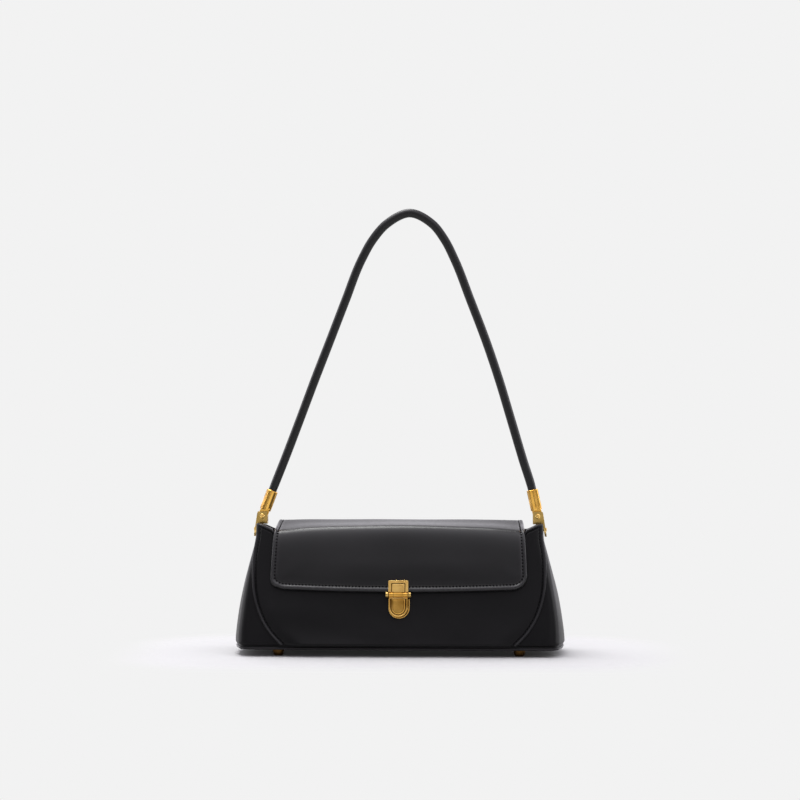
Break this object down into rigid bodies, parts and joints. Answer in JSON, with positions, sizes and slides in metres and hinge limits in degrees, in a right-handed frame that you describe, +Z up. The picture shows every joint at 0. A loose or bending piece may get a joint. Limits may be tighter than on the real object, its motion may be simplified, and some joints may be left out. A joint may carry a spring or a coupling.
{
  "type": "shoulder bag",
  "caption": "Baguette shoulder bag in smooth black leather with a flap, a hinged tongue clasp, metal feet and a rolled strap on swinging clips.",
  "frame": {"origin": "on the surface the bag stands on, under the middle of its base", "axes": "+Z up, -Y towards the front with the flap and clasp, +X towards the bag's right side as seen from the front"},
  "size_m": [0.2904, 0.0846, 0.3914],
  "materials": {
    "shell_leather": "satin smooth leather, finely grained",
    "flap_leather": "satin smooth leather, turned and stitched edge",
    "strap_leather": "satin smooth leather, rolled",
    "lining_cloth": "plain woven lining",
    "stiffener": "fibre board, raw",
    "strap_core": "twisted cotton core",
    "gold_hardware": "antique gold plate, polished rims and satin fields"
  },
  "bodies": {
    "bag_body": {"front_panel": "shell_leather", "back_panel": "shell_leather", "left_gusset": "shell_leather", "right_gusset": "shell_leather", "base_panel": "shell_leather", "front_board": "stiffener", "back_board": "stiffener", "base_board": "stiffener", "lining": "lining_cloth", "slip_pocket": "lining_cloth", "lock_plate": "gold_hardware", "catch_stud": "gold_hardware", "lock_backing": "gold_hardware", "foot_front_left": "gold_hardware", "foot_front_right": "gold_hardware", "foot_back_left": "gold_hardware", "foot_back_right": "gold_hardware", "foot_washer_front_left": "gold_hardware", "foot_washer_front_right": "gold_hardware", "foot_washer_back_left": "gold_hardware", "foot_washer_back_right": "gold_hardware"},
    "flap_body": {"flap": "flap_leather", "flap_lining": "lining_cloth", "hasp_plate": "gold_hardware", "hasp_backing": "gold_hardware", "clasp_pin": "gold_hardware"},
    "lever_body": {"clasp_lever": "gold_hardware"},
    "strap_body": {"strap_cover": "strap_leather", "strap_core": "strap_core", "left_clip": "gold_hardware", "right_clip": "gold_hardware", "left_clip_rivet": "gold_hardware", "right_clip_rivet": "gold_hardware", "left_clevis_screw": "gold_hardware", "right_clevis_screw": "gold_hardware"},
    "left_ferrule_body": {"left_ferrule": "gold_hardware"},
    "right_ferrule_body": {"right_ferrule": "gold_hardware"}
  },
  "joints": [
    {"name": "flap_hinge", "type": "hinge", "parent": "bag_body", "child": "flap_body", "pos_m": [0, 0.01859, 0.1118], "axis": [-1, 0, 0], "range_deg": [0, 160]},
    {"name": "lever_hinge", "type": "hinge", "parent": "flap_body", "child": "lever_body", "pos_m": [0, -0.03703, 0.05375], "axis": [-1, 0, 0], "range_deg": [0, 90]},
    {"name": "strap_swing", "type": "hinge", "parent": "bag_body", "child": "strap_body", "pos_m": [0, 0, 0.1083], "axis": [1, 0, 0], "range_deg": [-40, 40]},
    {"name": "left_ferrule_pivot", "type": "hinge", "parent": "strap_body", "child": "left_ferrule_body", "pos_m": [-0.1216, 0, 0.12], "axis": [0, 1, 0], "range_deg": [-8, 8], "stiffness_Nm_per_rad": 0.03, "deforming": ["strap_cover", "strap_core"]},
    {"name": "right_ferrule_pivot", "type": "hinge", "parent": "strap_body", "child": "right_ferrule_body", "pos_m": [0.1216, 0, 0.12], "axis": [0, 1, 0], "range_deg": [-8, 8], "stiffness_Nm_per_rad": 0.03, "deforming": ["strap_cover", "strap_core"]}
  ]
}
